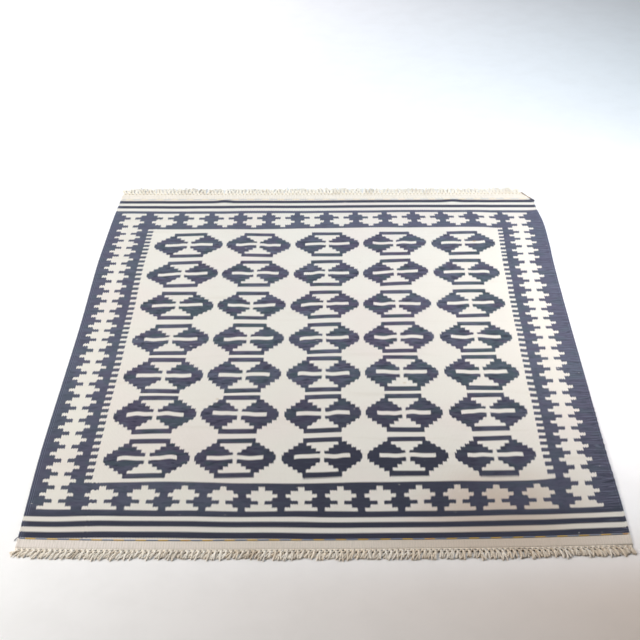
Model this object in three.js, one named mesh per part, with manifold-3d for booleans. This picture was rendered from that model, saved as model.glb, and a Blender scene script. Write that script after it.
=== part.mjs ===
// A flat-woven wool rug with a knotted warp fringe at each end, lying flat on a floor.
// Millimetres: +X across the rug, +Y along its warps to the far end, +Z up from the floor.
// Shapes are worked out about the middle of the weave, and the whole is centred at the end.
import * as THREE from 'three';
import Module from 'manifold-3d';

const wasm = await Module();
wasm.setup();

// Woven ground: how far each end lies from the middle, measured half way across
const NEAR_END = -1012;
const FAR_END = 1012;
const CLOTH_THICKNESS = 3;
const COLUMNS_BETWEEN_SELVEDGES = 10;
const ROWS_ALONG = 28;

// The cloth is thicker over the bundled outer warps: its section, from the edge inwards
const SELVEDGE_SECTION = [
  { inset: 0, bottom: 1, top: 2.6 },
  { inset: 1.5, bottom: 0, top: 3.8 },
  { inset: 8, bottom: 0, top: 3.8 },
  { inset: 11, bottom: 0, top: CLOTH_THICKNESS },
];

// Where the two selvedges run: they draw in at the far end, and its right corner is turned in
const SELVEDGES = [
  { along: -1012, left: -810, right: 798 },
  { along: -830, left: -813, right: 800 },
  { along: -600, left: -815, right: 799 },
  { along: -240, left: -809, right: 802 },
  { along: 80, left: -804, right: 804 },
  { along: 470, left: -804, right: 809 },
  { along: 610, left: -800, right: 814 },
  { along: 785, left: -794, right: 815 },
  { along: 885, left: -789, right: 805 },
  { along: 968, left: -784, right: 802 },
  { along: 1012, left: -782, right: 790 },
];

// How the weft lines lie: the rise at the right end against the middle, and of both ends together
const WEFTS = [
  { along: -1012, tilt: 6.5, bow: 11 },
  { along: -976, tilt: 9, bow: 15 },
  { along: -800, tilt: 10, bow: 9 },
  { along: -600, tilt: 14, bow: 2 },
  { along: -300, tilt: 9, bow: 0 },
  { along: 300, tilt: 7, bow: 0 },
  { along: 1012, tilt: 5, bow: 0 },
];

// Fringe: bunches of warp ends, each knotted close to the cloth, rooted in a narrow strip
const PIECE_GAP = 0.3;
const STRIP_WIDTH = 6;
const STRIP_HEIGHT = 2.4;
const STRIP_STEPS = 24;
const LOCKS = 112;
const KNOT_WIDTH = 9;
const KNOT_HEIGHT = 6;
const LENGTH_SPREAD = 0.12;
const LEAN_SPREAD = 3;

const ENDS = [
  { name: 'fringe_near', along: NEAR_END, outward: -1, from: 0.004, to: 0.996, knot: 14, length: 40 },
  { name: 'fringe_far', along: FAR_END, outward: 1, from: 0.004, to: 0.984, knot: 18, length: 57 },
];

// Which way the bunches lie, in degrees towards +X
const LEANS = [
  { across: -800, fringe_near: -32, fringe_far: -12 },
  { across: -400, fringe_near: -26, fringe_far: 8 },
  { across: 0, fringe_near: -22, fringe_far: -6 },
  { across: 300, fringe_near: -14, fringe_far: 10 },
  { across: 450, fringe_near: 2, fringe_far: 4 },
  { across: 600, fringe_near: 20, fringe_far: -4 },
  { across: 800, fringe_near: 27, fringe_far: -22 },
];

// A column of a table at any place between its rows, as a smooth curve through them
function smoothAt(table, place, column, at) {
  const last = table.length - 1;
  const inside = Math.min(Math.max(at, table[0][place]), table[last][place]);
  let row = 0;
  while (row < last - 1 && inside > table[row + 1][place]) row += 1;
  const [before, start, end, after] = [row - 1, row, row + 1, row + 2].map(
    (index) => table[Math.min(Math.max(index, 0), last)],
  );
  const span = end[place] - start[place];
  const t = (inside - start[place]) / span;
  const startSlope = ((end[column] - before[column]) / (end[place] - before[place])) * span;
  const endSlope = ((after[column] - start[column]) / (after[place] - start[place])) * span;
  const t2 = t * t;
  const t3 = t2 * t;
  return (
    (2 * t3 - 3 * t2 + 1) * start[column] +
    (t3 - 2 * t2 + t) * startSlope +
    (3 * t2 - 2 * t3) * end[column] +
    (t3 - t2) * endSlope
  );
}

// An even but scattered number from -1 to 1 for each bunch of the fringe
function scatter(index, seed) {
  const wave = Math.sin(index * 12.9898 + seed * 78.233) * 43758.5453;
  return 2 * (wave - Math.floor(wave)) - 1;
}

// The place on the floor of a share across the cloth, on the weft line that crosses its middle at along
function clothPoint(share, along) {
  const left = smoothAt(SELVEDGES, 'along', 'left', along);
  const right = smoothAt(SELVEDGES, 'along', 'right', along);
  const side = 2 * share - 1;
  const tilt = smoothAt(WEFTS, 'along', 'tilt', along);
  const bow = smoothAt(WEFTS, 'along', 'bow', along);
  return new THREE.Vector2(
    left + (right - left) * share,
    along + tilt * side + bow * Math.abs(side) ** 3,
  );
}

// A closed slab from rows of stations, each station an upper and a lower point
function slabGeometry(stations) {
  const rows = stations.length;
  const columns = stations[0].length;
  const positions = [];
  for (const row of stations) {
    for (const { point, top } of row) positions.push(point.x, point.y, top);
  }
  for (const row of stations) {
    for (const { point, bottom } of row) positions.push(point.x, point.y, bottom);
  }
  const upper = (row, column) => row * columns + column;
  const lower = (row, column) => rows * columns + upper(row, column);
  const indices = [];
  const addQuad = (a, b, c, d) => indices.push(a, b, c, a, c, d);
  for (let row = 0; row < rows - 1; row += 1) {
    for (let column = 0; column < columns - 1; column += 1) {
      addQuad(
        upper(row, column), upper(row, column + 1), upper(row + 1, column + 1), upper(row + 1, column),
      );
      addQuad(
        lower(row, column), lower(row + 1, column), lower(row + 1, column + 1), lower(row, column + 1),
      );
    }
    addQuad(upper(row, 0), upper(row + 1, 0), lower(row + 1, 0), lower(row, 0));
    const edge = columns - 1;
    addQuad(upper(row, edge), lower(row, edge), lower(row + 1, edge), upper(row + 1, edge));
  }
  for (let column = 0; column < columns - 1; column += 1) {
    addQuad(upper(0, column), lower(0, column), lower(0, column + 1), upper(0, column + 1));
    const end = rows - 1;
    addQuad(upper(end, column), upper(end, column + 1), lower(end, column + 1), lower(end, column));
  }
  const geometry = new THREE.BufferGeometry();
  geometry.setAttribute('position', new THREE.Float32BufferAttribute(positions, 3));
  geometry.setIndex(indices);
  return geometry;
}

// The cloth: level underneath, with a raised bead along each selvedge
function groundGeometry() {
  const stations = [];
  for (let row = 0; row <= ROWS_ALONG; row += 1) {
    const along = THREE.MathUtils.lerp(NEAR_END, FAR_END, row / ROWS_ALONG);
    const width = clothPoint(1, along).x - clothPoint(0, along).x;
    const columns = [];
    for (const { inset, bottom, top } of SELVEDGE_SECTION) {
      columns.push({ share: inset / width, bottom, top });
    }
    for (let column = 1; column < COLUMNS_BETWEEN_SELVEDGES; column += 1) {
      columns.push({ share: column / COLUMNS_BETWEEN_SELVEDGES, bottom: 0, top: CLOTH_THICKNESS });
    }
    for (const { inset, bottom, top } of [...SELVEDGE_SECTION].reverse()) {
      columns.push({ share: 1 - inset / width, bottom, top });
    }
    stations.push(
      columns.map(({ share, bottom, top }) => ({ point: clothPoint(share, along), bottom, top })),
    );
  }
  return slabGeometry(stations);
}

// The strip that holds the roots of one fringe, just clear of the cloth's end
function stripGeometry(end) {
  const stations = [[], []];
  for (let step = 0; step <= STRIP_STEPS; step += 1) {
    const share = THREE.MathUtils.lerp(end.from, end.to, step / STRIP_STEPS);
    const edge = clothPoint(share, end.along);
    const beyond = end.outward > 0 ? [PIECE_GAP, STRIP_WIDTH] : [-STRIP_WIDTH, -PIECE_GAP];
    beyond.forEach((offset, side) => {
      const point = edge.clone().add(new THREE.Vector2(0, offset));
      stations[side].push({ point, bottom: 0, top: STRIP_HEIGHT });
    });
  }
  return slabGeometry(stations);
}

// One bunch: a four-sided strand with a level underside, thick at its knot and splayed at its cut end
function lockGeometry(end, index) {
  const share = THREE.MathUtils.lerp(end.from, end.to, (index + 0.5) / LOCKS);
  const root = clothPoint(share, end.along);
  root.y += end.outward * (STRIP_WIDTH / 2);
  const lean = THREE.MathUtils.degToRad(
    smoothAt(LEANS, 'across', end.name, root.x) + LEAN_SPREAD * scatter(index, 1),
  );
  const along = new THREE.Vector2(Math.sin(lean), end.outward * Math.cos(lean));
  const across = new THREE.Vector2(along.y, -along.x);
  const length = end.length * (1 + LENGTH_SPREAD * scatter(index, 2)) - STRIP_WIDTH / 2;
  const sections = [
    { reach: 0, width: 5.5, height: 2 },
    { reach: end.knot - STRIP_WIDTH / 2, width: KNOT_WIDTH, height: KNOT_HEIGHT },
    { reach: end.knot + 4, width: 5.5, height: 4 },
    { reach: length, width: 7.5, height: 2.6 },
  ];
  const positions = [];
  for (const { reach, width, height } of sections) {
    const centre = root.clone().addScaledVector(along, reach);
    const corners = [[-1, 0], [1, 0], [0.55, height], [-0.55, height]];
    for (const [side, z] of corners) {
      const corner = centre.clone().addScaledVector(across, (side * width) / 2);
      positions.push(corner.x, corner.y, z);
    }
  }
  const indices = [];
  const last = 4 * (sections.length - 1);
  for (let base = 0; base < last; base += 4) {
    for (let side = 0; side < 4; side += 1) {
      const next = (side + 1) % 4;
      indices.push(base + side, base + 4 + side, base + 4 + next);
      indices.push(base + side, base + 4 + next, base + next);
    }
  }
  indices.push(0, 1, 2, 0, 2, 3, last, last + 2, last + 1, last, last + 3, last + 2);
  const geometry = new THREE.BufferGeometry();
  geometry.setAttribute('position', new THREE.Float32BufferAttribute(positions, 3));
  geometry.setIndex(indices);
  return geometry;
}

function toSolid(geometry) {
  return new wasm.Manifold(
    new wasm.Mesh({
      numProp: 3,
      vertProperties: new Float32Array(geometry.attributes.position.array),
      triVerts: new Uint32Array(geometry.index.array),
    }),
  );
}

function toGeometry(solid) {
  const { vertProperties, triVerts } = solid.getMesh();
  const geometry = new THREE.BufferGeometry();
  geometry.setAttribute('position', new THREE.BufferAttribute(vertProperties, 3));
  geometry.setIndex(new THREE.BufferAttribute(triVerts, 1));
  return geometry;
}

function fringeGeometry(end) {
  const solids = [toSolid(stripGeometry(end))];
  for (let index = 0; index < LOCKS; index += 1) solids.push(toSolid(lockGeometry(end, index)));
  return toGeometry(wasm.Manifold.union(solids));
}

const woolCloth = new THREE.MeshStandardMaterial({ color: 0x6b6f7c, roughness: 0.95, metalness: 0 });
const warpYarn = new THREE.MeshStandardMaterial({ color: 0xd6ccb9, roughness: 0.9, metalness: 0 });

function namedMesh(name, geometry, material) {
  geometry.computeVertexNormals();
  const mesh = new THREE.Mesh(geometry, material);
  mesh.name = name;
  return mesh;
}

const rug = new THREE.Group();
rug.add(namedMesh('woven_ground', groundGeometry(), woolCloth));
for (const end of ENDS) rug.add(namedMesh(end.name, fringeGeometry(end), warpYarn));

const reach = new THREE.Box3().setFromObject(rug);
const middle = reach.getCenter(new THREE.Vector3());
rug.position.set(-middle.x, -middle.y, 0);

export default rug;
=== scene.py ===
"""A flat-woven wool rug with a knotted warp fringe at each end, lying on a pale floor.

Lengths are worked out in millimetres about the middle of the weave, as in the part's source,
and put in the model's frame in metres when each mesh is made.
"""

import math

import bpy
import numpy as np
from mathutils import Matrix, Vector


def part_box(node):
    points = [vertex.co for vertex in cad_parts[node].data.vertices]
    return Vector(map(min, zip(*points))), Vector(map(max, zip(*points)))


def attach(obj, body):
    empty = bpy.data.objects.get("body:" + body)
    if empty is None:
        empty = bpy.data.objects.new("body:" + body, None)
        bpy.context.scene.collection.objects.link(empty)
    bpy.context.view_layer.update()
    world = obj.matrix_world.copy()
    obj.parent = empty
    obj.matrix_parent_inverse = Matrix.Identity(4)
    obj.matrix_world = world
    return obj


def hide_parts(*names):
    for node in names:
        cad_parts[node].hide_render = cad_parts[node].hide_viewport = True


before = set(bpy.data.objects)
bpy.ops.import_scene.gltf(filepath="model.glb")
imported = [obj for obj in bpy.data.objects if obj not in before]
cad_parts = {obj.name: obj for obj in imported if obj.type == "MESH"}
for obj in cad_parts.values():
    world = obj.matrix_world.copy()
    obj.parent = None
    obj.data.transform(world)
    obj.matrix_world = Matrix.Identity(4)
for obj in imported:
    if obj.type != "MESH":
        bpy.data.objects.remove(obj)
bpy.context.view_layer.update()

MM = 0.001

# ---------------------------------------------------------------- the part's own numbers
NEAR_END = -1012.0
FAR_END = 1012.0
CLOTH_THICKNESS = 3.0
CLOTH_WIDTH = 1610.0
HALF_WIDTH = CLOTH_WIDTH / 2

# The far right corner is turned in by this much, over the last rows and the outer tenth
CORNER_TURN = 24
CORNER_FROM = 966

# along, left edge, right edge
SELVEDGES = [
    (-1012, -810, 798),
    (-830, -813, 800),
    (-600, -815, 799),
    (-240, -809, 802),
    (80, -804, 804),
    (470, -804, 809),
    (610, -800, 814),
    (785, -794, 815),
    (885, -789, 805),
    (968, -784, 802),
    (1012, -782, 790),
]

# along, tilt, bow
WEFTS = [
    (-1012, 6.5, 11),
    (-976, 9, 15),
    (-800, 10, 9),
    (-600, 14, 2),
    (-300, 9, 0),
    (300, 7, 0),
    (1012, 5, 0),
]

# The fringe: bunches at each end, and how uneven they are
LOCKS = 112
LENGTH_SPREAD = 0.12
LEAN_SPREAD = 3.0
# knot and length: how far the second row of knots and the cords reach from the cloth's edge.
# column: which lean. hollow, under: tones of the yarns below; the flat yarns under the gaps between
# the knots are painted shade, and so, at the far end, are the flattened yarns under the cords.
# soiled: bunches that are soiled
ENDS = {
    "near": dict(
        along=NEAR_END, outward=-1, start=0.004, end=0.996, knot=11.5, length=40.0,
        column=1, gap_shade_tone=-0.6, under=0.45, soiled=(11,),
    ),
    "far": dict(
        along=FAR_END, outward=1, start=0.004, end=0.984, knot=15.0, length=57.0,
        column=2, gap_shade_tone=0.1, under=0.15, soiled=(),
    ),
}

# across, near lean, far lean, in degrees towards +X
LEANS = [
    (-800, -32, -12),
    (-400, -26, 8),
    (0, -22, -6),
    (300, -14, 10),
    (450, 2, 4),
    (600, 20, -4),
    (800, 27, -22),
]

# ---------------------------------------------------------------- the chart
# Across, the chart counts 235 pairs of warps; lengthways it counts rows from the far base row
CHART_ACROSS = 235.0
# A count on the left and its mirror image on the right add up to this
MIRROR_SUM = 232.5
WARP_STEP = 6.85
TOOTH_DEPTH = 3.6
ROW = 15.14
LAST_ROW = 112.0

# Where the arms of the two side chains lie, every fourth row, at the left and at the right
LEFT_ARMS = [
    849, 788, 725, 674, 623, 569, 511, 451, 390, 322, 259, 193, 133, 70, 14,
    -41, -105, -168, -230, -292, -355, -416, -479, -542, -605, -669, -730, -791, -846,
]  # fmt: skip
RIGHT_ARMS = [
    860, 800, 739, 686, 635, 576, 528, 456, 396, 333, 267, 204, 146, 89, 34,
    -28, -92, -147, -209, -273, -335, -397, -456, -516, -573, -635, -706, -771, -834,
]  # fmt: skip
CHAIN_SIDE = 0.9

# Where the chart's counts really fall across the width: the warps are not quite evenly set
WARP_COUNTS = [
    (0, 0),
    (24.2, 24.4),
    (26.9, 25.9),
    (62.7, 59.9),
    (64.5, 62.4),
    (97.9, 96.4),
    (100.3, 98.9),
    (133.7, 132.9),
    (135.5, 135.4),
    (168.9, 169.4),
    (171.8, 171.9),
    (205.4, 205.9),
    (208.1, 208.1),
    (235, 235),
]

# The seven rows of lozenges, far to near: the outer edge of each row's far bars, its middle,
# and the outer edge of its near bars
LOZENGE_ROWS = [
    (705, 616, 528),
    (498, 410, 321),
    (288, 199, 110),
    (81, -11, -103),
    (-119, -214, -309),
    (-323, -417, -511),
    (-537, -626, -715),
]
# Steps from one lozenge to the next and from its middle to its bars' outer edge, and the usual
# distance between rows in millimetres; then the columns, in counts across
LOZENGE_PITCH = 15.07
LOZENGE_REACH = 6.45
LOZENGE_SPACING = 208.0
FIRST_COLUMN = 42.9
COLUMN_PITCH = 36.5

# How much farther off than the chart's even rows the field and the side chains lie in places:
# along, at the left columns, at the right columns, at the sides
STRAYS = [
    (-800, 0, 0, -1),
    (-626, 0, 1, -3),
    (-417, 0, 1, -5),
    (-214, 0, 9, -6),
    (-11, 1, 8, -5),
    (199, -3, 4, -5),
    (410, -3, 3, -6),
    (616, -4, 9, -5),
    (760, -6, 2, -5),
    (900, -5, -1, -4),
]

# Middles of the twelve stars at each end, in counts across
STARS = [28.6, 45.6, 61.7, 77.3, 92.8, 108.8, 124.7, 140.7, 156.7, 172.1, 187.7, 204.4]


def smooth_at(table, column, at):
    """A column of a table at any place between its rows, as a smooth curve through them."""
    rows = np.array(table, dtype=float)
    x = rows[:, 0]
    y = rows[:, column]
    at = np.clip(np.asarray(at, dtype=float), x[0], x[-1])
    start = np.clip(np.searchsorted(x, at, side="right") - 1, 0, len(x) - 2)
    before = np.maximum(start - 1, 0)
    end = start + 1
    after = np.minimum(start + 2, len(x) - 1)
    span = x[end] - x[start]
    t = (at - x[start]) / span
    slope0 = (y[end] - y[before]) / (x[end] - x[before]) * span
    slope1 = (y[after] - y[start]) / (x[after] - x[start]) * span
    return (
        (2 * t**3 - 3 * t**2 + 1) * y[start]
        + (t**3 - 2 * t**2 + t) * slope0
        + (3 * t**2 - 2 * t**3) * y[end]
        + (t**3 - t**2) * slope1
    )


def weft_rise(side, along):
    """How far a weft line lies beyond its middle at a place from -1 to 1 across the cloth."""
    return smooth_at(WEFTS, 1, along) * side + smooth_at(WEFTS, 2, along) * np.abs(side) ** 3


def cloth_point(share, along):
    left = smooth_at(SELVEDGES, 1, along)
    right = smooth_at(SELVEDGES, 2, along)
    return left + (right - left) * share, along + weft_rise(2 * share - 1, along)


def scatter(index, seed):
    """An even but scattered number from -1 to 1."""
    wave = np.sin(np.asarray(index) * 12.9898 + seed * 78.233) * 43758.5453
    return 2 * (wave - np.floor(wave)) - 1


def smooth_step(low, high, value):
    t = np.clip((value - low) / (high - low), 0, 1)
    return t * t * (3 - 2 * t)


# The weave's middle against the model's frame, from the same node in both
def frame_offset():
    shares = np.linspace(0, 1, 401)
    alongs = np.linspace(NEAR_END, FAR_END, 29)
    x, y = cloth_point(*np.meshgrid(shares, alongs))
    low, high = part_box("woven_ground")
    return (
        (low[0] + high[0]) / 2 - (x.min() + x.max()) / 2 * MM,
        (low[1] + high[1]) / 2 - (y.min() + y.max()) / 2 * MM,
    )


OFFSET_X, OFFSET_Y = frame_offset()


def to_model(points):
    """Millimetres about the middle of the weave to metres in the model's frame."""
    moved = np.asarray(points, dtype=float) * MM
    moved[:, 0] += OFFSET_X
    moved[:, 1] += OFFSET_Y
    return moved


def add_mesh(name, points, faces, attributes=()):
    mesh = bpy.data.meshes.new(name)
    mesh.from_pydata([tuple(p) for p in to_model(points)], [], [tuple(f) for f in faces])
    for label, values in attributes:
        values = np.asarray(values, dtype=np.float32)
        if values.ndim == 1:
            layer = mesh.attributes.new(label, "FLOAT", "POINT")
            layer.data.foreach_set("value", values)
        else:
            layer = mesh.attributes.new(label, "FLOAT_VECTOR", "POINT")
            layer.data.foreach_set("vector", values.reshape(-1))
    mesh.polygons.foreach_set("use_smooth", [True] * len(mesh.polygons))
    mesh.update()
    piece = bpy.data.objects.new(name, mesh)
    bpy.context.scene.collection.objects.link(piece)
    return piece


# ---------------------------------------------------------------- the woven cloth
# The outer warps are bundled into ribs: how far in from the edge, how high, how far off the floor
RIB_SECTION = [
    (0.0, 1.6, 1.2),
    (0.3, 2.7, 0.5),
    (1.2, 3.7, 0.1),
    (2.2, 3.8, 0.0),
    (3.2, 3.1, 0.0),
    (4.2, 3.8, 0.0),
    (5.2, 3.8, 0.0),
    (6.2, 3.1, 0.0),
    (7.2, 3.7, 0.0),
    (8.2, 3.6, 0.0),
    (9.3, 2.9, 0.0),
    (11.0, 3.1, 0.0),
    (14.0, 3.0, 0.0),
]
COLUMNS_INSIDE = 104
ROWS_INSIDE = 340


def cloth_lift(share, along, x, y):
    """How far the cloth stands off the floor: soft puckers along its sides, and slight swells."""
    inset_right = (1 - share) * CLOTH_WIDTH
    inset_left = share * CLOTH_WIDTH
    strength = 1.3 + 3.0 * smooth_step(-250, -520, along) * smooth_step(-900, -700, along)
    strength = strength + 1.0 * smooth_step(300, 700, along)
    ripple = np.sin(y / 4.5 + 2.2 * np.sin(y / 71) + x / 26) * 0.5 + 0.5
    ripple = ripple * (0.62 + 0.38 * np.sin(y / 23 + 1.3))
    right = strength * ripple * np.exp(-((inset_right / 52) ** 2))
    left_ripple = np.sin(y / 9.1 + 1.7 * np.sin(y / 88) - x / 34) * 0.5 + 0.5
    left = 0.6 * left_ripple * np.exp(-((inset_left / 34) ** 2))
    swell = (
        np.sin(x / 83 + 1.1 * np.sin(y / 210)) * np.sin(y / 121 + 0.8)
        + 0.6 * np.sin(x / 47 - y / 66 + 2.0)
        + 0.5 * np.sin(x / 151 + y / 59)
    )
    swell = 0.45 * np.maximum(swell, 0) * smooth_step(0, 120, np.minimum(inset_left, inset_right))
    ends = smooth_step(FAR_END, 950, np.abs(along))
    return right + left + swell * ends


def corner_turn(share, along):
    """How far the far right corner is drawn in."""
    return CORNER_TURN * smooth_step(CORNER_FROM, FAR_END, along) * smooth_step(0.90, 1.0, share)


def weft_wave(x, y):
    """How far the colour changes stray lengthways from a straight weft."""
    return (
        1.2 * np.sin(x / 92 + 1.4 * np.sin(y / 160) + y / 61)
        + 0.6 * np.sin(x / 43.5 - y / 37 + 1.7)
        + 0.3 * np.sin(x / 22.4 + y / 29 + 0.6)
    )


def warp_wave(x, y):
    """How far they stray across, in steps of the chart."""
    return 0.10 * np.sin(y / 61 + x / 130) + 0.05 * np.sin(y / 27.3 - x / 71 + 0.9)


def weft_straying(x, y, along):
    """How much farther off a place lies in the chart than in the cloth, lengthways."""
    wave = weft_wave(x, y) * (0.25 + 0.75 * smooth_step(930, 850, np.abs(along)))
    # Two rises in the last far stripe: middle, height, width
    for middle, rise, width in ((-384, 7.0, 26), (490, 6.0, 28)):
        bump = rise * np.exp(-(((x - middle) / width) ** 2))
        wave = wave - bump * smooth_step(926, 950, along)
    left, right, sides = (smooth_at(STRAYS, column, along) for column in (1, 2, 3))
    rightward = smooth_step(-260, 320, x)
    outer = smooth_step(575, 640, np.abs(x))
    wave = wave - (left * (1 - rightward) + right * rightward) * (1 - outer) - sides * outer
    # The near border and stripes sag towards the near end, but at the left the stripes rise
    sag = 11 * smooth_step(-712, -738, along) - 5 * smooth_step(-760, -868, along)
    sag = sag - 2 * smooth_step(-868, -890, along)
    wave = wave + sag * smooth_step(-440, -190, x) * (1 - 0.8 * smooth_step(560, 680, x))
    rise = 5.5 * smooth_step(60, -220, x) * smooth_step(-740, -600, x)
    wave = wave - rise * smooth_step(-862, -886, along)
    # A lozenge of the sixth row sags at its left
    return wave + 7 * np.exp(-(((x + 90) / 70) ** 2) - ((along + 417) / 110) ** 2)


def warp_drift(x, along, spot):
    """How far the columns stray towards the right selvedge, in counts."""
    right_columns = smooth_step(120, 150, spot) * smooth_step(214, 206, spot)
    far_and_near = 0.9 * np.maximum(along, 0) / 620 + 0.1 * smooth_step(-300, -600, along)
    left_columns = smooth_step(28, 40, spot) * smooth_step(110, 70, spot)
    drift = right_columns * far_and_near
    drift = drift - 0.35 * left_columns * smooth_step(-100, -420, along)
    # The middle of the second row stands to the right, and the near right corner to the left
    drift = drift + 1.1 * np.exp(-(((x + 20) / 230) ** 2) - ((along - 470) / 190) ** 2)
    return drift - 0.7 * smooth_step(600, 680, x) * smooth_step(-735, -790, along)


def arm_rows(arms, side):
    """The chart's row at each place along, from the arms of one chain."""
    at = np.array(arms, dtype=float)
    return at - weft_rise(side, at)


def chart_rows(along, share):
    rows = np.arange(len(LEFT_ARMS)) * 4.0
    sides = []
    for arms, side in ((LEFT_ARMS, -CHAIN_SIDE), (RIGHT_ARMS, CHAIN_SIDE)):
        at = arm_rows(arms, side)
        inside = np.interp(-along, -at, rows)
        before = (at[0] - along) / ROW
        beyond = LAST_ROW + (at[-1] - along) / ROW
        sides.append(np.where(along > at[0], before, np.where(along < at[-1], beyond, inside)))
    mix = smooth_step(0.1, 0.9, share)
    return sides[0] * (1 - mix) + sides[1] * mix


def steps_between(places, values, at):
    """A count that passes each listed place, and goes on evenly past both ends."""
    places = np.asarray(places, dtype=float)
    inside = np.interp(at, places, values)
    first = (values[1] - values[0]) / (places[1] - places[0])
    last = (values[-1] - values[-2]) / (places[-1] - places[-2])
    inside = np.where(at < places[0], values[0] + (at - places[0]) * first, inside)
    return np.where(at > places[-1], values[-1] + (at - places[-1]) * last, inside)


def build_cloth():
    shares = []
    for along_share in np.linspace(0, 1, ROWS_INSIDE + 1):
        along = NEAR_END + (FAR_END - NEAR_END) * along_share
        width = float(smooth_at(SELVEDGES, 2, along) - smooth_at(SELVEDGES, 1, along))
        edge = [inset / width for inset, _, _ in RIB_SECTION]
        inner = np.linspace(edge[-1], 1 - edge[-1], COLUMNS_INSIDE + 1)[1:-1]
        shares.append(edge + list(inner) + [1 - e for e in reversed(edge)])
    tops = [t for _, t, _ in RIB_SECTION]
    tops = tops + [CLOTH_THICKNESS] * (COLUMNS_INSIDE - 1) + tops[::-1]
    bottoms = [b for _, _, b in RIB_SECTION]
    bottoms = bottoms + [0.0] * (COLUMNS_INSIDE - 1) + bottoms[::-1]
    share = np.array(shares)
    along = np.repeat(
        np.linspace(NEAR_END, FAR_END, ROWS_INSIDE + 1)[:, None], share.shape[1], axis=1
    )
    # The ends of the cloth are rounded over a warp's thickness
    top = np.repeat(np.array(tops)[None, :], share.shape[0], axis=0)
    bottom = np.repeat(np.array(bottoms)[None, :], share.shape[0], axis=0)
    top[0] = top[-1] = 2.1
    bottom[0] = bottom[-1] = 0.7
    x, y = cloth_point(share, along)
    x = x - corner_turn(share, along)
    lift = cloth_lift(share, along, x, y)
    # A thickened end of the last far stripe, where its yarn was carried up the edge
    blob = 1.6 * np.exp(-(((x - 797) / 7) ** 2) - ((along - 962) / 9) ** 2)
    upper = np.stack([x, y, top + lift + blob], axis=-1).reshape(-1, 3)
    lower = np.stack([x, y, bottom + lift], axis=-1).reshape(-1, 3)

    straying = along + weft_straying(x, y, along)
    spot = share * CHART_ACROSS + warp_wave(x, y)
    count = np.interp(spot - warp_drift(x, along, spot), *zip(*WARP_COUNTS))
    row = chart_rows(straying, share)
    reach = LOZENGE_REACH / LOZENGE_PITCH
    places = -np.array(LOZENGE_ROWS, dtype=float).ravel()
    values = (np.arange(7.0)[:, None] + np.array([-reach, 0, reach])).ravel()
    lozenge = steps_between(places, values, -straying)
    # Each lozenge's bars are a little tilted or bowed in their own way
    column = (count - FIRST_COLUMN) / COLUMN_PITCH
    place_across = 2 * (column - np.round(column))
    number = np.round(column) + 5 * np.round(lozenge)
    uneven = 6.5 * scatter(number, 11) * place_across
    uneven = uneven + 6.0 * scatter(number, 12) * (place_across**2 - 0.35)
    uneven = uneven * (0.45 + 0.55 * smooth_step(-300, 300, along))
    lozenge = lozenge + uneven / LOZENGE_SPACING
    # The near row of stars is set closer than the far one
    star_spot = np.where(along < 0, 1.010 * spot - 0.62, 0.997 * spot)
    star = steps_between(STARS, np.arange(1.0, 13.0), star_spot)
    weave = np.stack([count, row, lozenge], axis=-1).reshape(-1, 3)
    place = np.stack([share * CLOTH_WIDTH - HALF_WIDTH, straying, star], axis=-1).reshape(-1, 3)

    rows, columns = share.shape
    total = rows * columns
    index = np.arange(total).reshape(rows, columns)
    a, b = index[:-1, :-1].ravel(), index[:-1, 1:].ravel()
    c, d = index[1:, 1:].ravel(), index[1:, :-1].ravel()
    faces = [np.stack([a, b, c, d], axis=1), np.stack([a, d, c, b], axis=1) + total]
    for low, high in (
        (index[0, :-1], index[0, 1:]),
        (index[:-1, -1], index[1:, -1]),
        (index[-1, ::-1][:-1], index[-1, ::-1][1:]),
        (index[::-1, 0][:-1], index[::-1, 0][1:]),
    ):
        faces.append(np.stack([high, low, low + total, high + total], axis=1))
    return add_mesh(
        "woven_cloth",
        np.concatenate([upper, lower]),
        np.concatenate(faces).tolist(),
        [("weave", np.concatenate([weave, weave])), ("place", np.concatenate([place, place]))],
    )


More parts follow.
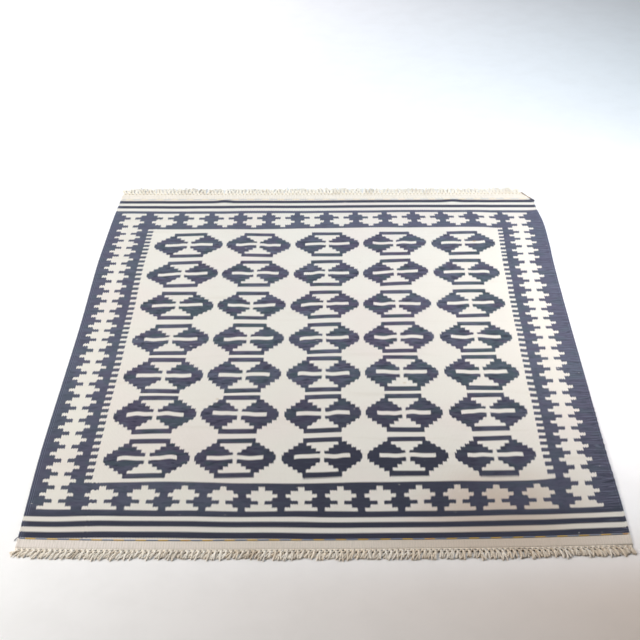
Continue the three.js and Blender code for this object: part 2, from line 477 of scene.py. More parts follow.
# ---------------------------------------------------------------- yarns
class Yarns:
    """Tubes of yarn gathered into one mesh, each vertex with a tone and a place along its tube."""

    def __init__(self):
        self.points = []
        self.faces = []
        self.tones = []
        self.count = 0

    def tube(self, centres, radii, sides, tone, flat=1.0):
        centres = np.asarray(centres, dtype=float)
        radii = np.broadcast_to(np.asarray(radii, dtype=float), (len(centres),))
        tangent = np.gradient(centres, axis=0)
        tangent /= np.linalg.norm(tangent, axis=1)[:, None] + 1e-9
        side = np.stack([tangent[:, 1], -tangent[:, 0], np.zeros(len(centres))], axis=1)
        side /= np.linalg.norm(side, axis=1)[:, None] + 1e-9
        up = np.cross(side, tangent)
        angle = np.arange(sides) * 2 * math.pi / sides
        ring = (
            centres[:, None, :]
            + radii[:, None, None] * np.cos(angle)[None, :, None] * side[:, None, :]
            + flat * radii[:, None, None] * np.sin(angle)[None, :, None] * up[:, None, :]
        )
        ring[:, :, 2] = np.maximum(ring[:, :, 2], 0.05)
        length = np.concatenate([[0], np.cumsum(np.linalg.norm(np.diff(centres, axis=0), axis=1))])
        first = self.count
        rings = len(centres)
        self.points.append(ring.reshape(-1, 3))
        for i in range(rings):
            for j in range(sides):
                self.tones.append((tone, length[i], angle[j] / (2 * math.pi)))
        for i in range(rings - 1):
            for j in range(sides):
                k = (j + 1) % sides
                base = first + i * sides
                self.faces.append((base + j, base + sides + j, base + sides + k, base + k))
        self.faces.append(tuple(first + j for j in range(sides)))
        last = first + (rings - 1) * sides
        self.faces.append(tuple(last + j for j in reversed(range(sides))))
        self.count += rings * sides

    def cord(self, centres, plies, radius, pitch, sides, tone, phase=0.0, taper=None):
        """Plies wound about a centre line."""
        centres = np.asarray(centres, dtype=float)
        tangent = np.gradient(centres, axis=0)
        tangent /= np.linalg.norm(tangent, axis=1)[:, None] + 1e-9
        side = np.stack([tangent[:, 1], -tangent[:, 0], np.zeros(len(centres))], axis=1)
        side /= np.linalg.norm(side, axis=1)[:, None] + 1e-9
        up = np.cross(side, tangent)
        length = np.concatenate([[0], np.cumsum(np.linalg.norm(np.diff(centres, axis=0), axis=1))])
        taper = np.ones(len(centres)) if taper is None else np.asarray(taper, dtype=float)
        for ply in range(plies):
            turn = phase + 2 * math.pi * (length / pitch + ply / plies)
            off = radius * 0.82 * taper
            line = (
                centres
                + (off * np.cos(turn))[:, None] * side
                + (off * np.sin(turn))[:, None] * up
            )
            self.tube(line, radius * taper, sides, tone + 0.08 * (ply % 2))

    def make(self, name):
        return add_mesh(name, np.concatenate(self.points), self.faces, [("yarn", self.tones)])


def build_fringe(name, end):
    """Warps gathered in two staggered rows of knots close to the cloth, then twisted cords."""
    yarns = Yarns()
    outward = end["outward"]
    rng = np.random.default_rng(7 if outward < 0 else 8)
    pitch_share = (end["end"] - end["start"]) / LOCKS

    def edge(share):
        share = float(np.clip(share, 0.002, 0.998))
        x, y = cloth_point(share, end["along"])
        return np.array([float(x), float(y)])

    def lean_at(x, index):
        lean = float(smooth_at(LEANS, end["column"], x)) + LEAN_SPREAD * float(scatter(index, 1))
        return math.radians(lean)

    def reach(share, index, distance, shear=1.0):
        root = edge(share)
        lean = lean_at(root[0], index) * shear
        return root + distance * np.array([math.sin(lean), outward * math.cos(lean)])

    first_knots = []
    for k in range(LOCKS + 1):
        share = end["start"] + k * pitch_share
        spot = reach(share, k, 4.6 + rng.uniform(-0.5, 0.5), 0.6)
        first_knots.append(spot)
        # Single warps come together out of the cloth
        for strand in range(6):
            offset = (strand - 2.5) / 6 * pitch_share
            start = edge(share + offset)
            start[1] -= outward * 1.5
            middle = edge(share + offset * 0.9)
            middle[1] += outward * 1.2
            line = [
                (*start, 1.7),
                (*middle, 1.8 + rng.uniform(-0.3, 0.3)),
                (*(spot * 0.8 + middle * 0.2), 2.3),
                (*spot, 2.6),
            ]
            yarns.tube(line, [1.05, 1.1, 1.0, 0.8], 5, 0.6 + rng.uniform(-0.1, 0.1))

    # Dark flat yarns under the two rows of gaps between the knots: painted shade, set where only
    # shade lies
    for distance, radius in ((5.4, 2.9), (9.6, 2.4)):
        line = []
        for k in range(2 * LOCKS + 1):
            spot = reach(end["start"] + k * pitch_share / 2, 0, distance, 0.0)
            line.append((*spot, 0.9))
        yarns.tube(line, radius, 6, end["gap_shade_tone"], flat=0.28)

    for k in range(LOCKS):
        share = end["start"] + (k + 0.5) * pitch_share
        knot = reach(share, k, end["knot"] + rng.uniform(-1.3, 1.3), 0.8)
        tone = 0.6 + 0.25 * float(scatter(k, 5))
        if k in end["soiled"]:
            tone = -0.05
        # The two halves that meet in this knot
        for source in (first_knots[k], first_knots[k + 1]):
            middle = (source + knot) / 2
            middle = middle + (middle - (first_knots[k] + first_knots[k + 1]) / 4 - knot / 2) * 0.22
            line = [(*source, 2.4), (*middle, 2.3), (*knot, 3.0)]
            fine = bend(line, 6)
            yarns.cord(fine, 2, 1.5, 11, 5, tone, phase=rng.uniform(0, 6))
        # Knots: two short loops wound across each other
        for spot, size in ((first_knots[k], 2.4), (knot, 3.2)):
            lean = lean_at(spot[0], k) * 0.8
            wrap(yarns, spot, lean, outward, size, rng, tone + 0.12)
        # Two or three cords leave it, lying side by side on the floor
        cords = 3 if rng.random() < 0.85 else 2
        # Flattened yarns lie under them, and fill the gaps; at the far end their low tone makes
        # them painted shade between the cords
        lean = lean_at(knot[0], k) + rng.uniform(-0.3, 0.3)
        under = (end["length"] - end["knot"]) * rng.uniform(0.7, 0.9)
        heading = np.array([math.sin(lean), outward * math.cos(lean)])
        for shift in (-3.6, 3.6):
            base = knot + shift * np.array([heading[1], -heading[0]])
            line = [(*(base + heading * under * t), 0.95) for t in (-0.2, 0.15, 0.5, 0.8, 1.0)]
            under_tone = end["under"] + rng.uniform(0, 0.2)
            yarns.tube(line, [1.2, 1.9, 2.1, 1.8, 0.9], 6, under_tone, flat=0.45)
        corner = max(0.0, 1 - k / 4) if outward < 0 else 0.0
        for cord in range(cords):
            spread = (cord - (cords - 1) / 2) * 0.22 + rng.uniform(-0.12, 0.12)
            lean = lean_at(knot[0], k) + spread - corner * 0.35
            if outward > 0:
                lean += rng.uniform(-0.2, 0.2)
            length = end["length"] * (1 + LENGTH_SPREAD * float(scatter(k, 2)))
            length = length * rng.uniform(0.86, 1.02) - end["knot"]
            curl = rng.uniform(-0.5, 0.5)
            rise = rng.uniform(1.0, 2.4)
            line = []
            steps = 9
            x, y = knot
            for step in range(steps + 1):
                t = step / steps
                heading = lean + curl * t * t
                z = 2.3 + rise * math.sin(math.pi * min(t * 1.1, 1)) + 0.5 * (1 - t)
                line.append((x, y, z))
                x += math.sin(heading) * length / steps
                y += outward * math.cos(heading) * length / steps
            line = np.array(line)
            # Cut ends curl over a little
            line[-1, 2] = max(line[-1, 2] - 0.8, 1.5)
            taper = np.ones(steps + 1)
            taper[0] = 0.85
            taper[-3:] = (1.05, 1.12, 0.85)
            own = tone + rng.uniform(-0.12, 0.12)
            radius = rng.uniform(1.45, 1.75) if cords == 2 else rng.uniform(1.2, 1.5)
            yarns.cord(line, 2, radius, rng.uniform(9, 12), 5, own, rng.uniform(0, 6), taper)
            # Loose fibres at the cut end
            for fibre in range(2):
                heading = lean + curl + rng.uniform(-0.7, 0.7)
                tip = line[-1] + np.array([
                    math.sin(heading) * rng.uniform(1.5, 3),
                    outward * math.cos(heading) * rng.uniform(1.5, 3),
                    -0.6,
                ])
                yarns.tube([line[-2], line[-1], tip], [0.7, 0.6, 0.25], 4, own + 0.1)
    return yarns.make(name)


def bend(points, count):
    """A smooth line of count points through three."""
    p0, p1, p2 = (np.array(p, dtype=float) for p in points)
    control = 2 * p1 - (p0 + p2) / 2
    t = np.linspace(0, 1, count)[:, None]
    return (1 - t) ** 2 * p0 + 2 * t * (1 - t) * control + t**2 * p2


def wrap(yarns, spot, lean, outward, size, rng, tone):
    """A knot's two crossing loops round a bunch of yarn."""
    along = np.array([math.sin(lean), outward * math.cos(lean), 0.0])
    across = np.array([along[1], -along[0], 0.0])
    up = np.array([0.0, 0.0, 1.0])
    for turn in (-1, 1):
        slant = 0.55 * turn + rng.uniform(-0.15, 0.15)
        angle = np.linspace(0, 2 * math.pi, 9)
        line = (
            np.array([spot[0], spot[1], 2.7])
            + size * 1.25 * np.cos(angle)[:, None] * (across + slant * along)
            + size * 0.72 * np.sin(angle)[:, None] * up
            + 0.5 * turn * along
        )
        line[:, 2] = np.maximum(line[:, 2], 0.9)
        yarns.tube(line, size * 0.52, 5, tone)


def build_twined_line(name, along, far):
    """Two yarns twined across the weave, taking turns on the face."""
    yarns = Yarns()
    shares = np.linspace(0.003, 0.997 if not far else 0.992, 760)
    x, y = cloth_point(shares, np.full(len(shares), along))
    x = x - corner_turn(shares, along)
    z = CLOTH_THICKNESS + 0.35 + cloth_lift(shares, np.full(len(shares), along), x, y)
    line = np.stack([x, y, z], axis=1)
    yarns.cord(line, 2, 1.3, 14.0, 6, 0.5)
    return yarns.make(name)


def build_threads():
    """The loose end of weft at the left edge, and the knot at the far right."""
    yarns = Yarns()
    points = np.array([(-802, -969, 3.9), (-811, -968, 4.2), (-816, -972, 2.2), (-818, -977, 1.1)])
    at = np.linspace(0, len(points) - 1, 24)
    fine = np.stack([np.interp(at, np.arange(len(points)), points[:, i]) for i in range(3)], axis=1)
    # Its corners are rounded by a running mean
    padded = np.pad(fine, ((2, 2), (0, 0)), mode="edge")
    kernel = np.ones(5) / 5
    fine = np.stack([np.convolve(padded[:, i], kernel, mode="valid") for i in range(3)], axis=1)
    yarns.cord(fine, 2, 0.7, 5, 6, 0.3)
    # The last far stripe's yarn is knotted off at the right edge
    rng = np.random.default_rng(3)
    for spot in ((796, 966), (793, 971), (799, 962)):
        wrap(yarns, np.array(spot, dtype=float), 0.6, 1, 4.2, rng, 0.05)
    return yarns.make("loose_weft_ends")


def build_corner_thread():
    """The brown thread that holds the turned-in far corner."""
    yarns = Yarns()
    t = np.linspace(0, 1, 40)
    x = 791 - 29 * t + 1.2 * np.sin(t * 22)
    y = 980 + 48 * t + 0.8 * np.cos(t * 17)
    z = 4.1 + 0.7 * np.sin(t * 30) + 0.2 * np.cos(t * 13)
    yarns.cord(np.stack([x, y, z], axis=1), 2, 1.4, 8, 6, 0.4)
    return yarns.make("corner_thread")


# ---------------------------------------------------------------- materials
class Graph:
    """Short calls for building a material's nodes."""

    def __init__(self, name):
        self.material = bpy.data.materials.new(name)
        self.material.use_nodes = True
        self.nodes = self.material.node_tree.nodes
        self.links = self.material.node_tree.links
        self.nodes.clear()
        self.out = self.nodes.new("ShaderNodeOutputMaterial")
        self.shader = self.nodes.new("ShaderNodeBsdfPrincipled")
        self.links.new(self.shader.outputs[0], self.out.inputs["Surface"])

    def feed(self, socket, value):
        if isinstance(value, bpy.types.NodeSocket):
            self.links.new(value, socket)
        elif isinstance(value, tuple) and len(value) == 3 and len(socket.default_value) == 4:
            socket.default_value = (*value, 1)
        else:
            socket.default_value = value

    def math(self, operation, *values, clamp=False):
        node = self.nodes.new("ShaderNodeMath")
        node.operation = operation
        node.use_clamp = clamp
        for socket, value in zip(node.inputs, values):
            self.feed(socket, value)
        return node.outputs[0]

    def add(self, a, b):
        return self.math("ADD", a, b)

    def sub(self, a, b):
        return self.math("SUBTRACT", a, b)

    def mul(self, a, b):
        return self.math("MULTIPLY", a, b)

    def over(self, a, b):
        return self.math("GREATER_THAN", a, b)

    def under(self, a, b):
        return self.math("LESS_THAN", a, b)

    def within(self, value, low, high):
        return self.mul(self.over(value, low), self.under(value, high))

    def both(self, *values):
        result = values[0]
        for value in values[1:]:
            result = self.mul(result, value)
        return result

    def either(self, *values):
        result = values[0]
        for value in values[1:]:
            result = self.math("MAXIMUM", result, value)
        return result

    def without(self, value):
        return self.sub(1.0, value)

    def stair(self, value, start, steps):
        """Starts at one height, and changes by each step's amount past that step's edge."""
        result = start
        for edge, change in steps:
            passed = self.over(value, edge)
            node = self.nodes.new("ShaderNodeMath")
            node.operation = "MULTIPLY_ADD"
            self.feed(node.inputs[0], passed)
            node.inputs[1].default_value = change
            self.feed(node.inputs[2], result)
            result = node.outputs[0]
        return result

    def distance(self, across, along, x, y):
        """How far a place is from a spot that is longer across than along."""
        dx = self.sub(across, x)
        dy = self.sub(along, y)
        return self.math("SQRT", self.add(self.mul(dx, dx), self.mul(self.mul(dy, dy), 1.8)))

    def attribute(self, name):
        node = self.nodes.new("ShaderNodeAttribute")
        node.attribute_name = name
        return node.outputs["Vector"]

    def split(self, vector):
        node = self.nodes.new("ShaderNodeSeparateXYZ")
        self.feed(node.inputs[0], vector)
        return node.outputs[0], node.outputs[1], node.outputs[2]

    def join(self, x, y, z=0.0):
        node = self.nodes.new("ShaderNodeCombineXYZ")
        for socket, value in zip(node.inputs, (x, y, z)):
            self.feed(socket, value)
        return node.outputs[0]

    def noise(self, vector, scale=1.0, detail=2.0, roughness=0.5):
        node = self.nodes.new("ShaderNodeTexNoise")
        self.feed(node.inputs["Vector"], vector)
        node.inputs["Scale"].default_value = scale
        node.inputs["Detail"].default_value = detail
        node.inputs["Roughness"].default_value = roughness
        return node.outputs[0]

    def level(self, value, low, high, out_low=0.0, out_high=1.0, smooth=True):
        node = self.nodes.new("ShaderNodeMapRange")
        node.interpolation_type = "SMOOTHSTEP" if smooth else "LINEAR"
        self.feed(node.inputs[0], value)
        for socket, number in zip(node.inputs[1:5], (low, high, out_low, out_high)):
            socket.default_value = number
        return node.outputs[0]

    def mix(self, factor, a, b, blend="MIX"):
        node = self.nodes.new("ShaderNodeMix")
        node.data_type = "RGBA"
        node.blend_type = blend
        self.feed(node.inputs[0], factor)
        self.feed(node.inputs[6], a)
        self.feed(node.inputs[7], b)
        return node.outputs[2]

    def bump(self, height, distance, strength=1.0):
        node = self.nodes.new("ShaderNodeBump")
        node.inputs["Distance"].default_value = distance
        node.inputs["Strength"].default_value = strength
        self.feed(node.inputs["Height"], height)
        self.links.new(node.outputs[0], self.shader.inputs["Normal"])

    def set(self, **values):
        for label, value in values.items():
            self.feed(self.shader.inputs[label.replace("_", " ")], value)


BLUE = (0.072, 0.079, 0.122)
BLUE_LIGHT = (0.118, 0.130, 0.185)
BLUE_VIOLET = (0.086, 0.074, 0.126)
BLUE_TEAL = (0.062, 0.096, 0.112)
BLUE_DARK = (0.034, 0.037, 0.060)
# Painted highlight on the tops of ribs and creases
BLUE_RIDGE_HIGHLIGHT = (0.190, 0.210, 0.290)
CREAM = (0.80, 0.77, 0.70)
CREAM_PINK = (0.80, 0.73, 0.68)
CREAM_SHADE = (0.66, 0.61, 0.52)
HEADING = (0.79, 0.71, 0.62)
# Painted light on the heading's left
HEADING_LIT_LEFT = (0.88, 0.81, 0.75)
HEADING_FAR = (0.91, 0.84, 0.74)
STAIN = (0.40, 0.25, 0.06)
# A warm brown, painted as shade over the near right of the cloth and the fringe
WARM_SHADE = (0.45, 0.30, 0.18)


# Where the light stripes and the plain headings lie along the cloth
LIGHT_STRIPES = [(881, 903), (924.5, 944.5), (-903, -883.5), (-946.5, -926)]
FAR_HEADING = 966
NEAR_HEADING = -972

# Old spots: across, along, size, strength
SPOTS = [
    (534, 627, 9, 0.8),
    (-322, -340, 8, 0.35),
    (245, -268, 8, 0.35),
    (-520, 260, 6, 0.2),
    (120, 480, 6, 0.2),
]
# Middle of the painted warm shade over the near right
WARM_SHADE_AT = (480.0, -860.0)


def cloth_material():
    g = Graph("blue_and_cream_wool")
    count, row, lozenge = g.split(g.attribute("weave"))
    across, along, star = g.split(g.attribute("place"))

    # A colour change is saw-toothed over pairs of warps, and slightly fuzzy
    warp = g.mul(count, WARP_STEP)
    pair = g.math("PINGPONG", count, 0.5)
    tooth = g.mul(g.sub(g.over(pair, 0.25), 0.5), TOOTH_DEPTH)
    fuzz = g.mul(g.sub(g.noise(g.join(warp, along), 0.35, 2.0), 0.5), 1.6)
    shift = g.add(tooth, fuzz)
    side_fuzz = g.mul(g.sub(g.noise(g.join(g.mul(warp, 0.2), along), 0.6, 1.0), 0.5), 0.4)
    pick = g.add(along, shift)
    row = g.sub(row, g.mul(shift, 1 / ROW))
    lozenge = g.sub(lozenge, g.mul(shift, 1 / LOZENGE_SPACING))
    count = g.add(count, side_fuzz)
    mirrored = g.math("MINIMUM", count, g.sub(MIRROR_SUM, count))
    from_base = g.math("MINIMUM", row, g.sub(LAST_ROW, row))

    # Running chain at each side
    arm = g.math("PINGPONG", row, 2.0)
    chain_half = g.stair(arm, 6.8, [(0.46, -2.5), (1.44, -3.0)])
    from_chain = g.math("ABSOLUTE", g.sub(mirrored, 11.0))
    in_border = g.over(from_base, -0.5)
    chain = g.both(g.under(from_chain, chain_half), in_border)

    # A star on a foot, twelve at each end
    star_half = g.stair(
        from_base,
        6.5,
        [
            (0.5, -2.2),
            (1.45, -3.0),
            (2.55, 3.0),
            (3.5, 2.0),
            (4.5, -2.0),
            (5.45, -3.0),
            (6.5, -50.0),
        ],
    )
    from_star = g.mul(g.math("PINGPONG", star, 0.5), 16.0)
    stars = g.both(g.under(from_star, star_half), in_border, g.within(star, 0.5, 12.5))

    # The field: comb teeth along its sides, and five columns of seven stepped lozenges
    in_field = g.both(g.over(from_base, 7.5), g.over(mirrored, 21.2))
    odd_row = g.over(g.math("PINGPONG", row, 1.0), 0.44)
    comb = g.both(odd_row, g.under(mirrored, 24.2))
    column = g.mul(g.sub(count, FIRST_COLUMN), 1 / COLUMN_PITCH)
    from_column = g.mul(g.math("PINGPONG", column, 0.5), COLUMN_PITCH)
    level = g.mul(g.math("PINGPONG", lozenge, 0.5), LOZENGE_PITCH)
    outer_half = g.stair(
        level,
        17.0,
        [(1.0, -0.8), (2.0, -1.9), (3.0, -2.0), (4.0, -2.0), (5.0, -2.05), (6.55, -50.0)],
    )
    hourglass_half = g.stair(level, 0.85, [(1.87, 1.8), (2.88, 2.0), (3.9, 2.05), (4.9, -50.0)])
    hourglass = g.under(from_column, hourglass_half)
    # The slit between its two halves wanders a little
    lozenge_number = g.math("ROUND", lozenge)
    wander = g.noise(g.join(g.mul(across, 0.017), g.mul(lozenge_number, 3.7), 55.0), 1.0, 1.0)
    slit_level = g.sub(lozenge, g.mul(g.sub(wander, 0.58), 0.11))
    slit_level = g.mul(g.math("PINGPONG", slit_level, 0.5), LOZENGE_PITCH)
    slit = g.both(g.under(slit_level, 0.66), g.under(from_column, 11.8))
    lozenges = g.both(
        g.under(from_column, outer_half),
        g.without(g.either(hourglass, slit)),
        g.within(column, -0.5, 4.5),
        g.within(lozenge, -0.5, 6.5),
    )
    field = g.both(in_field, g.without(g.either(comb, lozenges)))

    # Stripes at the ends, and the plain heading
    stripes = g.either(*(g.within(pick, low, high) for low, high in LIGHT_STRIPES))
    heading = g.either(g.over(pick, FAR_HEADING), g.under(pick, NEAR_HEADING))
    light = g.either(chain, stars, field, stripes, heading)

    # Yarn colours: streaks along single picks, bands from changes of yarn, and broad fading
    streak = g.noise(g.join(g.mul(across, 0.012), g.mul(along, 0.42)), 1.0, 3.0, 0.6)
    band = g.noise(g.join(g.mul(across, 0.0035), g.mul(along, 0.03), 3.0), 1.0, 2.0, 0.55)
    broad = g.noise(g.join(g.mul(across, 0.0028), g.mul(along, 0.0028), 9.0), 1.0, 1.0, 0.5)
    bead = g.noise(g.join(g.mul(warp, 0.4), g.mul(along, 0.8), 5.0), 1.0, 1.0, 0.5)
    blue = g.mix(g.level(band, 0.35, 0.68), BLUE, BLUE_LIGHT)
    patch = g.noise(g.join(g.mul(across, 0.03), g.mul(along, 0.075), 14.0), 1.0, 2.0, 0.6)
    blue = g.mix(g.level(broad, 0.46, 0.62, 0.0, 0.8), blue, BLUE_VIOLET)
    blue = g.mix(g.level(broad, 0.46, 0.34, 0.0, 0.7), blue, BLUE_TEAL)
    skein = g.noise(g.join(g.mul(across, 0.013), g.mul(along, 0.021), 47.0), 1.0, 1.0, 0.5)
    blue = g.mix(g.level(skein, 0.53, 0.62, 0.0, 0.75), blue, BLUE_VIOLET)
    blue = g.mix(g.level(skein, 0.47, 0.38, 0.0, 0.75), blue, BLUE_TEAL)
    blue = g.mix(g.level(patch, 0.53, 0.64, 0.0, 0.75), blue, BLUE_DARK)
    blue = g.mix(g.level(patch, 0.45, 0.33, 0.0, 0.7), blue, BLUE_LIGHT)
    outside_field = g.without(g.both(g.over(mirrored, 24.2), g.within(along, -735, 735)))
    blue = g.mix(g.mul(outside_field, 0.45), blue, BLUE_LIGHT)
    # Darker towards the near middle, where the light falls off: painted shade. Paler at the far
    # end: painted sheen
    from_middle = g.math("ABSOLUTE", g.sub(across, 130.0))
    near_middle_shade = g.mul(g.level(along, -80, -740), g.level(from_middle, 130, 560, 1.0, 0.35))
    near_middle_shade = g.mul(near_middle_shade, g.sub(1.0, g.mul(outside_field, 0.15)))
    blue = g.mix(near_middle_shade, blue, BLUE_DARK)
    # Painted sheen: paler blue towards the far end
    blue = g.mix(g.level(along, 480, 860, 0.0, 0.35), blue, BLUE_LIGHT)
    near_dark = g.level(along, -830, -900)
    far_dark = g.mul(g.level(along, 895, 915), 0.85)
    blue = g.mix(g.mul(g.either(near_dark, far_dark), 0.9), blue, BLUE_DARK)
    blue = g.mix(g.level(streak, 0.56, 0.78, 0.0, 0.55), blue, BLUE_LIGHT)
    blue = g.mix(g.level(streak, 0.44, 0.26, 0.0, 0.5), blue, BLUE_DARK)
    # The bundled outer warps are lighter on top and dark in their grooves, and the right side's
    # creases light on their ridges and dark in their hollows: painted highlight and painted shade
    left_inset = g.add(across, HALF_WIDTH)
    right_inset = g.sub(HALF_WIDTH, across)
    groove = g.math("PINGPONG", g.add(left_inset, 0.6), 2.6)
    left_ribs = g.level(left_inset, 22, 4)
    blue = g.mix(g.mul(left_ribs, g.level(groove, 1.0, 2.2, 0.0, 0.75)), blue, BLUE_RIDGE_HIGHLIGHT)
    blue = g.mix(g.mul(left_ribs, g.level(groove, 1.2, 0.3, 0.0, 0.7)), blue, BLUE_DARK)
    right_ribs = g.mul(g.level(right_inset, 12, 4), g.level(along, -400, 400, 0.4, 1.0))
    groove = g.math("PINGPONG", g.add(right_inset, 0.6), 2.6)
    blue = g.mix(g.mul(right_ribs, g.level(groove, 1.0, 2.2, 0.0, 0.9)), blue, BLUE_RIDGE_HIGHLIGHT)
    blue = g.mix(g.mul(right_ribs, g.level(groove, 1.2, 0.3, 0.0, 0.6)), blue, BLUE_DARK)
    # The right side's creases: painted highlight on the ridges, painted shade in the hollows
    sway = g.mul(g.noise(g.join(g.mul(across, 0.006), g.mul(along, 0.017), 63.0), 1.0, 2.0), 58.0)
    crease = g.math("PINGPONG", g.add(along, sway), 6.6)
    crease_depth = g.noise(g.join(g.mul(across, 0.022), g.mul(along, 0.07), 71.0), 1.0, 2.0)
    creased = g.mul(g.level(right_inset, 74, 16), g.level(crease_depth, 0.38, 0.62, 0.1, 1.0))
    creased = g.mul(creased, g.level(along, -420, -620, 0.7, 1.0))
    blue = g.mix(g.mul(creased, g.level(crease, 4.2, 6.2, 0.0, 0.55)), blue, BLUE_RIDGE_HIGHLIGHT)
    blue = g.mix(g.mul(creased, g.level(crease, 2.2, 0.4, 0.0, 0.75)), blue, BLUE_DARK)
    cream = g.mix(g.level(broad, 0.45, 0.66, 0.0, 0.6), CREAM, CREAM_PINK)
    cream = g.mix(g.level(band, 0.55, 0.75, 0.0, 0.25), cream, CREAM_SHADE)
    cream = g.mix(g.level(streak, 0.42, 0.25, 0.0, 0.35), cream, CREAM_SHADE)
    # Painted shade: the cream and the heading turn warmer and darker round the near right
    from_warm_shade = g.distance(across, along, *WARM_SHADE_AT)
    cream = g.mix(g.level(from_warm_shade, 330, 60, 0.0, 0.46), cream, WARM_SHADE)
    rib = g.math("PINGPONG", warp, 1.71)
    ends_of_warps = g.noise(g.join(g.mul(warp, 0.22), g.mul(along, 0.02), 31.0), 1.0, 2.0, 0.7)
    # Painted light: the heading paler towards the left
    heading_tone = g.mix(g.level(across, -150, -650), HEADING, HEADING_LIT_LEFT)
    heading_tone = g.mix(g.over(along, 0.0), heading_tone, HEADING_FAR)
    # Painted shade: darker lines between the pairs of warps, for the shading of their ribs
    heading_tone = g.mix(g.level(pair, 0.12, 0.38, 0.3, 0.0), heading_tone, CREAM_SHADE)
    heading_tone = g.mix(g.level(ends_of_warps, 0.5, 0.3, 0.0, 0.55), heading_tone, CREAM_SHADE)
    heading_tone = g.mix(g.level(from_warm_shade, 480, 60, 0.0, 0.42), heading_tone, WARM_SHADE)
    cream = g.mix(heading, cream, heading_tone)
    colour = g.mix(light, blue, cream)
    colour = g.mix(g.level(bead, 0.3, 0.7, 0.16, 0.0), colour, (0.02, 0.02, 0.02), "MIX")

    # A few old spots, and flecks of light fibre
    for x, y, size, strength in SPOTS:
        distance = g.distance(across, along, x, y)
        spot = g.level(distance, size, size * 0.2, 0.0, strength)
        colour = g.mix(spot, colour, STAIN)
    fleck = g.noise(g.join(g.mul(across, 0.05), g.mul(along, 0.09), 21.0), 1.0, 1.0, 0.5)
    colour = g.mix(g.level(fleck, 0.775, 0.80, 0.0, 0.5), colour, CREAM)

    # Relief: ribs over the warps, each pick a row of beads
    picks = g.math("PINGPONG", g.add(along, g.mul(g.math("FLOOR", g.mul(warp, 0.4)), 0.6)), 0.6)
    relief = g.add(g.mul(rib, 0.6), g.mul(picks, 0.5))
    relief = g.add(relief, g.mul(streak, 0.5))
    g.bump(relief, 0.0005, 0.55)
    g.set(Base_Color=colour, Roughness=0.95)
    g.shader.inputs["Sheen Weight"].default_value = 0.06
    g.shader.inputs["Sheen Roughness"].default_value = 0.4
    g.shader.inputs["Specular IOR Level"].default_value = 0.15
    return g.material


def yarn_material(name, base, dark, light, shade_height, shade_depth, warm_shade=0.0):
    """Spun yarn, darker low down between the cords: painted shade, by height above the floor."""
    g = Graph(name)
    tone, length, angle = g.split(g.attribute("yarn"))
    geometry = g.nodes.new("ShaderNodeNewGeometry")
    height = g.mul(g.split(geometry.outputs["Position"])[2], 1000.0)
    fibre = g.noise(g.join(g.mul(length, 0.9), g.mul(angle, 9.0), tone), 1.0, 3.0, 0.6)
    broad = g.noise(geometry.outputs["Position"], 14.0, 2.0, 0.5)
    colour = g.mix(g.level(tone, 0.3, 0.95), base, light)
    colour = g.mix(g.level(tone, 0.3, 0.0), colour, dark)
    colour = g.mix(g.level(fibre, 0.45, 0.25, 0.0, 0.4), colour, dark)
    colour = g.mix(g.level(broad, 0.52, 0.72, 0.0, 0.35), colour, dark)
    # Painted shade: darker below a height above the floor, between and under the cords
    colour = g.mix(g.level(height, shade_height, 0.4, 0.0, shade_depth), colour, dark)
    if warm_shade:
        # Painted light and shade across the fringe: lighter towards the left, warmer and darker
        # towards the right
        x = g.split(geometry.outputs["Position"])[0]
        colour = g.mix(g.level(x, -0.1, -0.6, 0.0, 0.5), colour, light)
        colour = g.mix(g.level(x, -0.1, 0.5, 0.0, warm_shade), colour, WARM_SHADE)
    # Tones below -0.2 turn near black: painted shade, for the flat yarns under the gaps between the
    # knots
    colour = g.mix(g.level(tone, -0.2, -0.5), colour, (0.035, 0.025, 0.016))
    twist = g.math("PINGPONG", g.add(length, g.mul(angle, 2.0)), 0.5)
    g.bump(g.add(fibre, g.mul(twist, 0.6)), 0.0004, 0.6)
    g.set(Base_Color=colour, Roughness=0.92)
    g.shader.inputs["Sheen Weight"].default_value = 0.2
    g.shader.inputs["Specular IOR Level"].default_value = 0.15
    return g.material


def twined_material(far):
    """Turns of yellow and of pale blue along the line."""
    g = Graph("twined_yarns_far" if far else "twined_yarns_near")
    _, length, angle = g.split(g.attribute("yarn"))
    turn = g.over(g.math("PINGPONG", length, 32.0), 17.0)
    uneven = g.noise(g.join(g.mul(length, 0.03), 2.0), 1.0, 1.0, 0.5)
    yellow = g.mix(g.level(uneven, 0.55, 0.7), (0.74, 0.50, 0.13), (0.74, 0.38, 0.16))
    pale = (0.29, 0.33, 0.44)
    if far:
        yellow = g.mix(0.72, yellow, CREAM)
        pale = (0.60, 0.60, 0.60)
    colour = g.mix(turn, pale, yellow)
    fibre = g.noise(g.join(g.mul(length, 1.2), g.mul(angle, 8.0)), 1.0, 2.0, 0.6)
    colour = g.mix(g.level(fibre, 0.45, 0.25, 0.0, 0.5), colour, (0.12, 0.10, 0.08))
    g.bump(fibre, 0.0004, 0.5)
    g.set(Base_Color=colour, Roughness=0.9)
    g.shader.inputs["Sheen Weight"].default_value = 0.2
    return g.material


def dress(piece, material, node=None):
    piece.data.materials.append(material)
    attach(piece, "root")
    if node:
        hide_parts(node)


cloth = build_cloth()
dress(cloth, cloth_material(), "woven_ground")

fringe_yarn = yarn_material(
    "warp_yarn_ends", (0.95, 0.84, 0.69), (0.44, 0.33, 0.21), (1.0, 0.95, 0.86), 1.8, 0.35, 0.22
)
far_yarn = yarn_material(
    "warp_yarn_far", (0.92, 0.87, 0.76), (0.62, 0.54, 0.42), (0.97, 0.93, 0.84), 2.0, 0.45
)
fringe_near = build_fringe("knotted_fringe_near", ENDS["near"])
dress(fringe_near, fringe_yarn, "fringe_near")
fringe_far = build_fringe("knotted_fringe_far", ENDS["far"])
dress(fringe_far, far_yarn, "fringe_far")

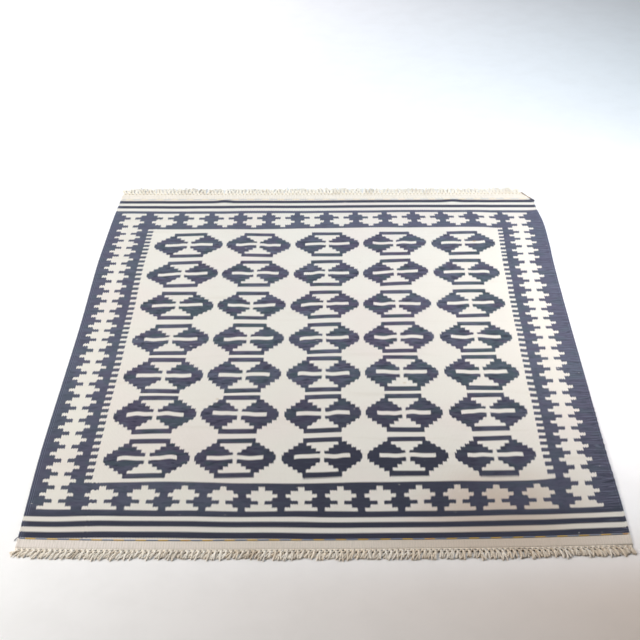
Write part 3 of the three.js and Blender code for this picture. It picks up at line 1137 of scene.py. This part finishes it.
line_near = build_twined_line("twined_line_near", -976.0, False)
dress(line_near, twined_material(False))
line_far = build_twined_line("twined_line_far", 970.0, True)
dress(line_far, twined_material(True))

threads = build_threads()
blue_yarn = yarn_material(
    "blue_weft_yarn", (0.12, 0.125, 0.16), (0.05, 0.05, 0.07), (0.16, 0.17, 0.21), 1.0, 0.2
)
dress(threads, blue_yarn)
corner = build_corner_thread()
brown_yarn = yarn_material(
    "brown_sewing_yarn", (0.26, 0.17, 0.10), (0.10, 0.06, 0.03), (0.38, 0.26, 0.17), 1.0, 0.2
)
dress(corner, brown_yarn)


# ---------------------------------------------------------------- floor, light and camera
def build_floor():
    mesh = bpy.data.meshes.new("floor")
    size = 30.0
    mesh.from_pydata(
        [(-size, -size, 0), (size, -size, 0), (size, size, 0), (-size, size, 0)], [], [(0, 1, 2, 3)]
    )
    floor = bpy.data.objects.new("floor", mesh)
    bpy.context.scene.collection.objects.link(floor)
    g = Graph("pale_floor")
    position = g.nodes.new("ShaderNodeNewGeometry").outputs["Position"]
    grain = g.noise(position, 9.0, 4.0, 0.6)
    x, y, _ = g.split(position)
    # Painted shade: the floor turns darker and warmer towards the near right
    painted_floor_shade = g.mul(g.level(x, -0.8, 0.9, smooth=False), g.level(y, -0.85, -1.25))
    colour = g.mix(painted_floor_shade, (0.97, 0.97, 0.97), (0.70, 0.60, 0.52))
    colour = g.mix(g.level(grain, 0.35, 0.7, 0.0, 0.05), colour, (0.4, 0.38, 0.34))
    g.bump(g.noise(position, 40.0, 3.0, 0.6), 0.002, 0.12)
    g.set(Base_Color=colour, Roughness=0.7)
    floor.data.materials.append(g.material)


def add_area(name, location, target, size, power, colour):
    light = bpy.data.lights.new(name, "AREA")
    light.shape = "RECTANGLE"
    light.size, light.size_y = size
    light.energy = power
    light.color = colour
    lamp = bpy.data.objects.new(name, light)
    bpy.context.scene.collection.objects.link(lamp)
    lamp.location = location
    lamp.visible_camera = False
    away = [t - p for t, p in zip(target, location)]
    flat = math.hypot(away[0], away[1])
    turn = math.atan2(away[1], away[0]) - math.pi / 2
    lamp.rotation_euler = (math.atan2(flat, -away[2]), 0, turn)
    return lamp


build_floor()
world = bpy.data.worlds.new("studio")
bpy.context.scene.world = world
world.use_nodes = True
backdrop = world.node_tree.nodes["Background"]
backdrop.inputs[0].default_value = (1.0, 0.96, 0.92, 1)
backdrop.inputs[1].default_value = 0.05
add_area("window_left", (-3.3, -0.6, 2.1), (-0.5, 1.2, 0), (2.2, 1.6), 154.0, (1.0, 0.958, 0.908))
add_area("soft_box_far", (1.1, 1.5, 2.4), (-0.2, 1.5, 0), (2.2, 1.8), 47.0, (0.68, 0.862, 1.0))
add_area("window_right", (1.6, 0.2, 0.8), (0.2, 0.2, 0), (1.2, 1.0), 21.0, (1.0, 0.89, 0.853))
add_area("window_far", (-1.5, 3.8, 2.2), (-0.9, 2.6, 0), (2.0, 1.2), 57.0, (0.98, 0.935, 1.0))

camera_data = bpy.data.cameras.new("camera")
camera_data.lens = 75.3
camera_data.sensor_width = 36.0
camera_data.clip_end = 200.0
camera = bpy.data.objects.new("camera", camera_data)
bpy.context.scene.collection.objects.link(camera)
camera.location = (-0.018 + OFFSET_X, -3.631 + OFFSET_Y, 2.36)
camera.rotation_euler = (math.radians(57.732), 0, 0)
bpy.context.scene.camera = camera
bpy.context.scene.view_settings.view_transform = "Standard"
